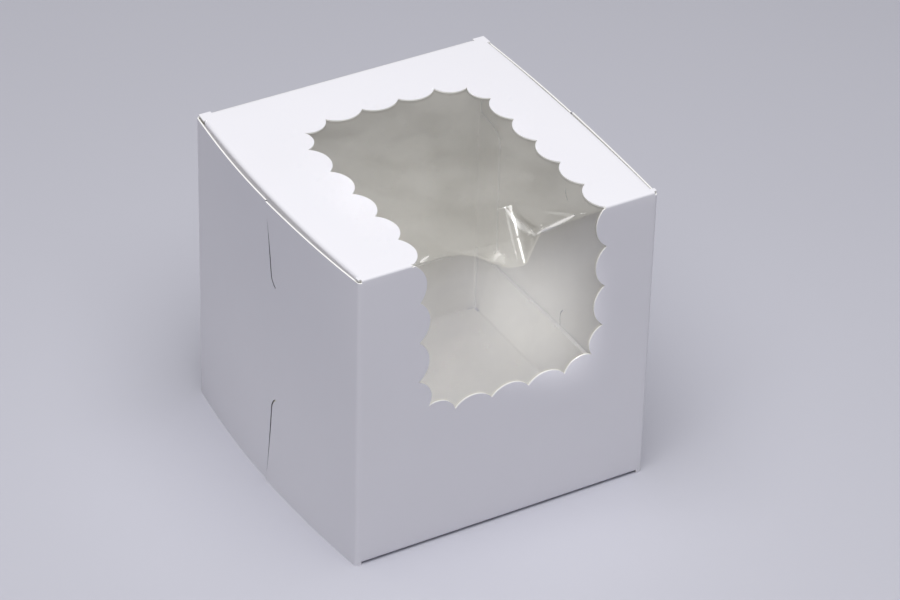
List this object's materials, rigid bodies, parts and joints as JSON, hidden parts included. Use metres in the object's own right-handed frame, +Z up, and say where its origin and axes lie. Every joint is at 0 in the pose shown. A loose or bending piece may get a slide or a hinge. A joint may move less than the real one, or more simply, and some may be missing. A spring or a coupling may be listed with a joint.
{
  "type": "windowed bakery box",
  "caption": "Cube-shaped folding carton of white paperboard with a hinged tuck lid and a scalloped clear window that runs over the top front fold.",
  "frame": {"origin": "middle of the underside, on the surface that the box stands on", "axes": "+X to the right as seen from the front, +Y from the front wall to the back wall, +Z up"},
  "size_m": [0.1085, 0.1036, 0.1046],
  "materials": {
    "board": "white coated paperboard, satin",
    "film": "clear gloss film"
  },
  "bodies": {
    "carton": {"carton": "board", "window_film_front": "film"},
    "lid": {"lid": "board", "window_film_lid": "film"}
  },
  "joints": [
    {"name": "lid_hinge", "type": "hinge", "parent": "carton", "child": "lid", "pos_m": [0, -0.0518, 0.1046], "axis": [1, 0, 0], "range_deg": [0, 100]}
  ]
}
